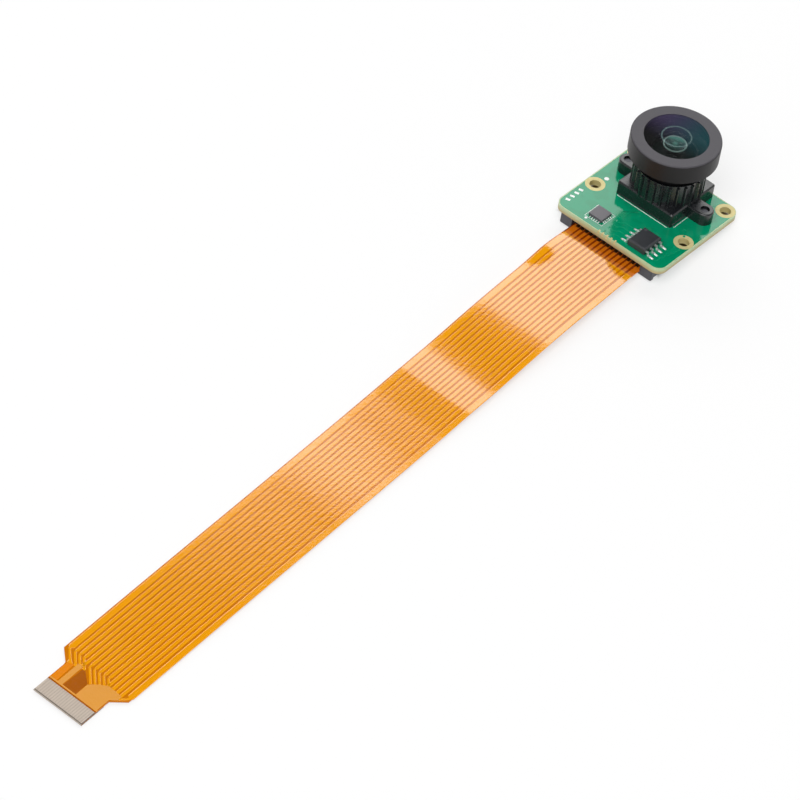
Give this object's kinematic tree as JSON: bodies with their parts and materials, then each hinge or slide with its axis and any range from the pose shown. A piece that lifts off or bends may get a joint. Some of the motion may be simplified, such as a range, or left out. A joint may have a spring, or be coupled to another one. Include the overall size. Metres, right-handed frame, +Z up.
{
  "type": "camera module",
  "caption": "Camera circuit board with a wide-angle screw-in lens in a ribbed holder, and a flat flexible cable latched into its edge connector.",
  "frame": {"origin": "on the table, under the middle of the module's box without its cable", "axes": "+Z up from the table; +Y from the cable towards the rear of the board; +X across the board, to the right seen from the cable's side"},
  "size_m": [0.025, 0.1719, 0.0176],
  "materials": {
    "solder_mask": "glossy green solder mask on glass-fibre board",
    "gold_plate": "gold-plated copper",
    "black_moulding": "matt black moulded plastic",
    "black_anodised": "black anodised, fine turned",
    "lens_glass": "polished, coated",
    "seal_rubber": "matt black",
    "filter_glass": "polished, pale blue",
    "silicon_package": "dark ceramic",
    "chip_epoxy": "moulded epoxy",
    "tinned_lead": "tin-plated",
    "screw_steel": "nickel-plated",
    "capacitor_ceramic": "fired tan ceramic",
    "connector_moulding": "dark grey heat-proof plastic",
    "cable_film": "glossy amber film over copper tracks",
    "stiffener_film": "glossy amber board",
    "contact_gold": "gold-plated copper"
  },
  "bodies": {
    "module": {"circuit_board": "solder_mask", "hole_plating": "gold_plate", "lens_holder": "black_moulding", "holder_screws": "screw_steel", "ir_filter": "filter_glass", "image_sensor": "silicon_package", "sensor_cover_glass": "filter_glass", "driver_chip": "chip_epoxy", "driver_chip_leads": "tinned_lead", "controller_chip": "chip_epoxy", "controller_pads": "tinned_lead", "capacitors": "capacitor_ceramic", "capacitor_ends": "tinned_lead", "oscillator": "silicon_package", "oscillator_lid": "screw_steel", "regulators": "chip_epoxy", "connector_housing": "connector_moulding", "connector_contacts": "contact_gold", "connector_tabs": "tinned_lead", "flat_cable": "cable_film", "cable_near_stiffener": "stiffener_film", "cable_near_contacts": "contact_gold", "cable_far_stiffener": "stiffener_film", "cable_far_contacts": "contact_gold"},
    "lens": {"lens_barrel": "black_anodised", "front_ring": "black_anodised", "front_glass": "lens_glass", "front_seal": "seal_rubber", "front_spacer": "black_anodised", "second_glass": "lens_glass", "aperture_stop": "black_anodised", "third_glass": "lens_glass", "rear_spacer": "black_anodised", "rear_glass": "lens_glass"},
    "latch": {"connector_latch": "connector_moulding"}
  },
  "joints": [
    {"name": "focus_turn", "type": "hinge", "parent": "module", "child": "lens", "pos_m": [0, 0.00365, 0.00252], "axis": [0, 0.0961, 0.9954], "range_deg": [-180, 180]},
    {"name": "latch_slide", "type": "slide", "parent": "module", "child": "latch", "axis": [0, -0.9954, 0.0961], "range_m": [0, 0.0009]}
  ]
}
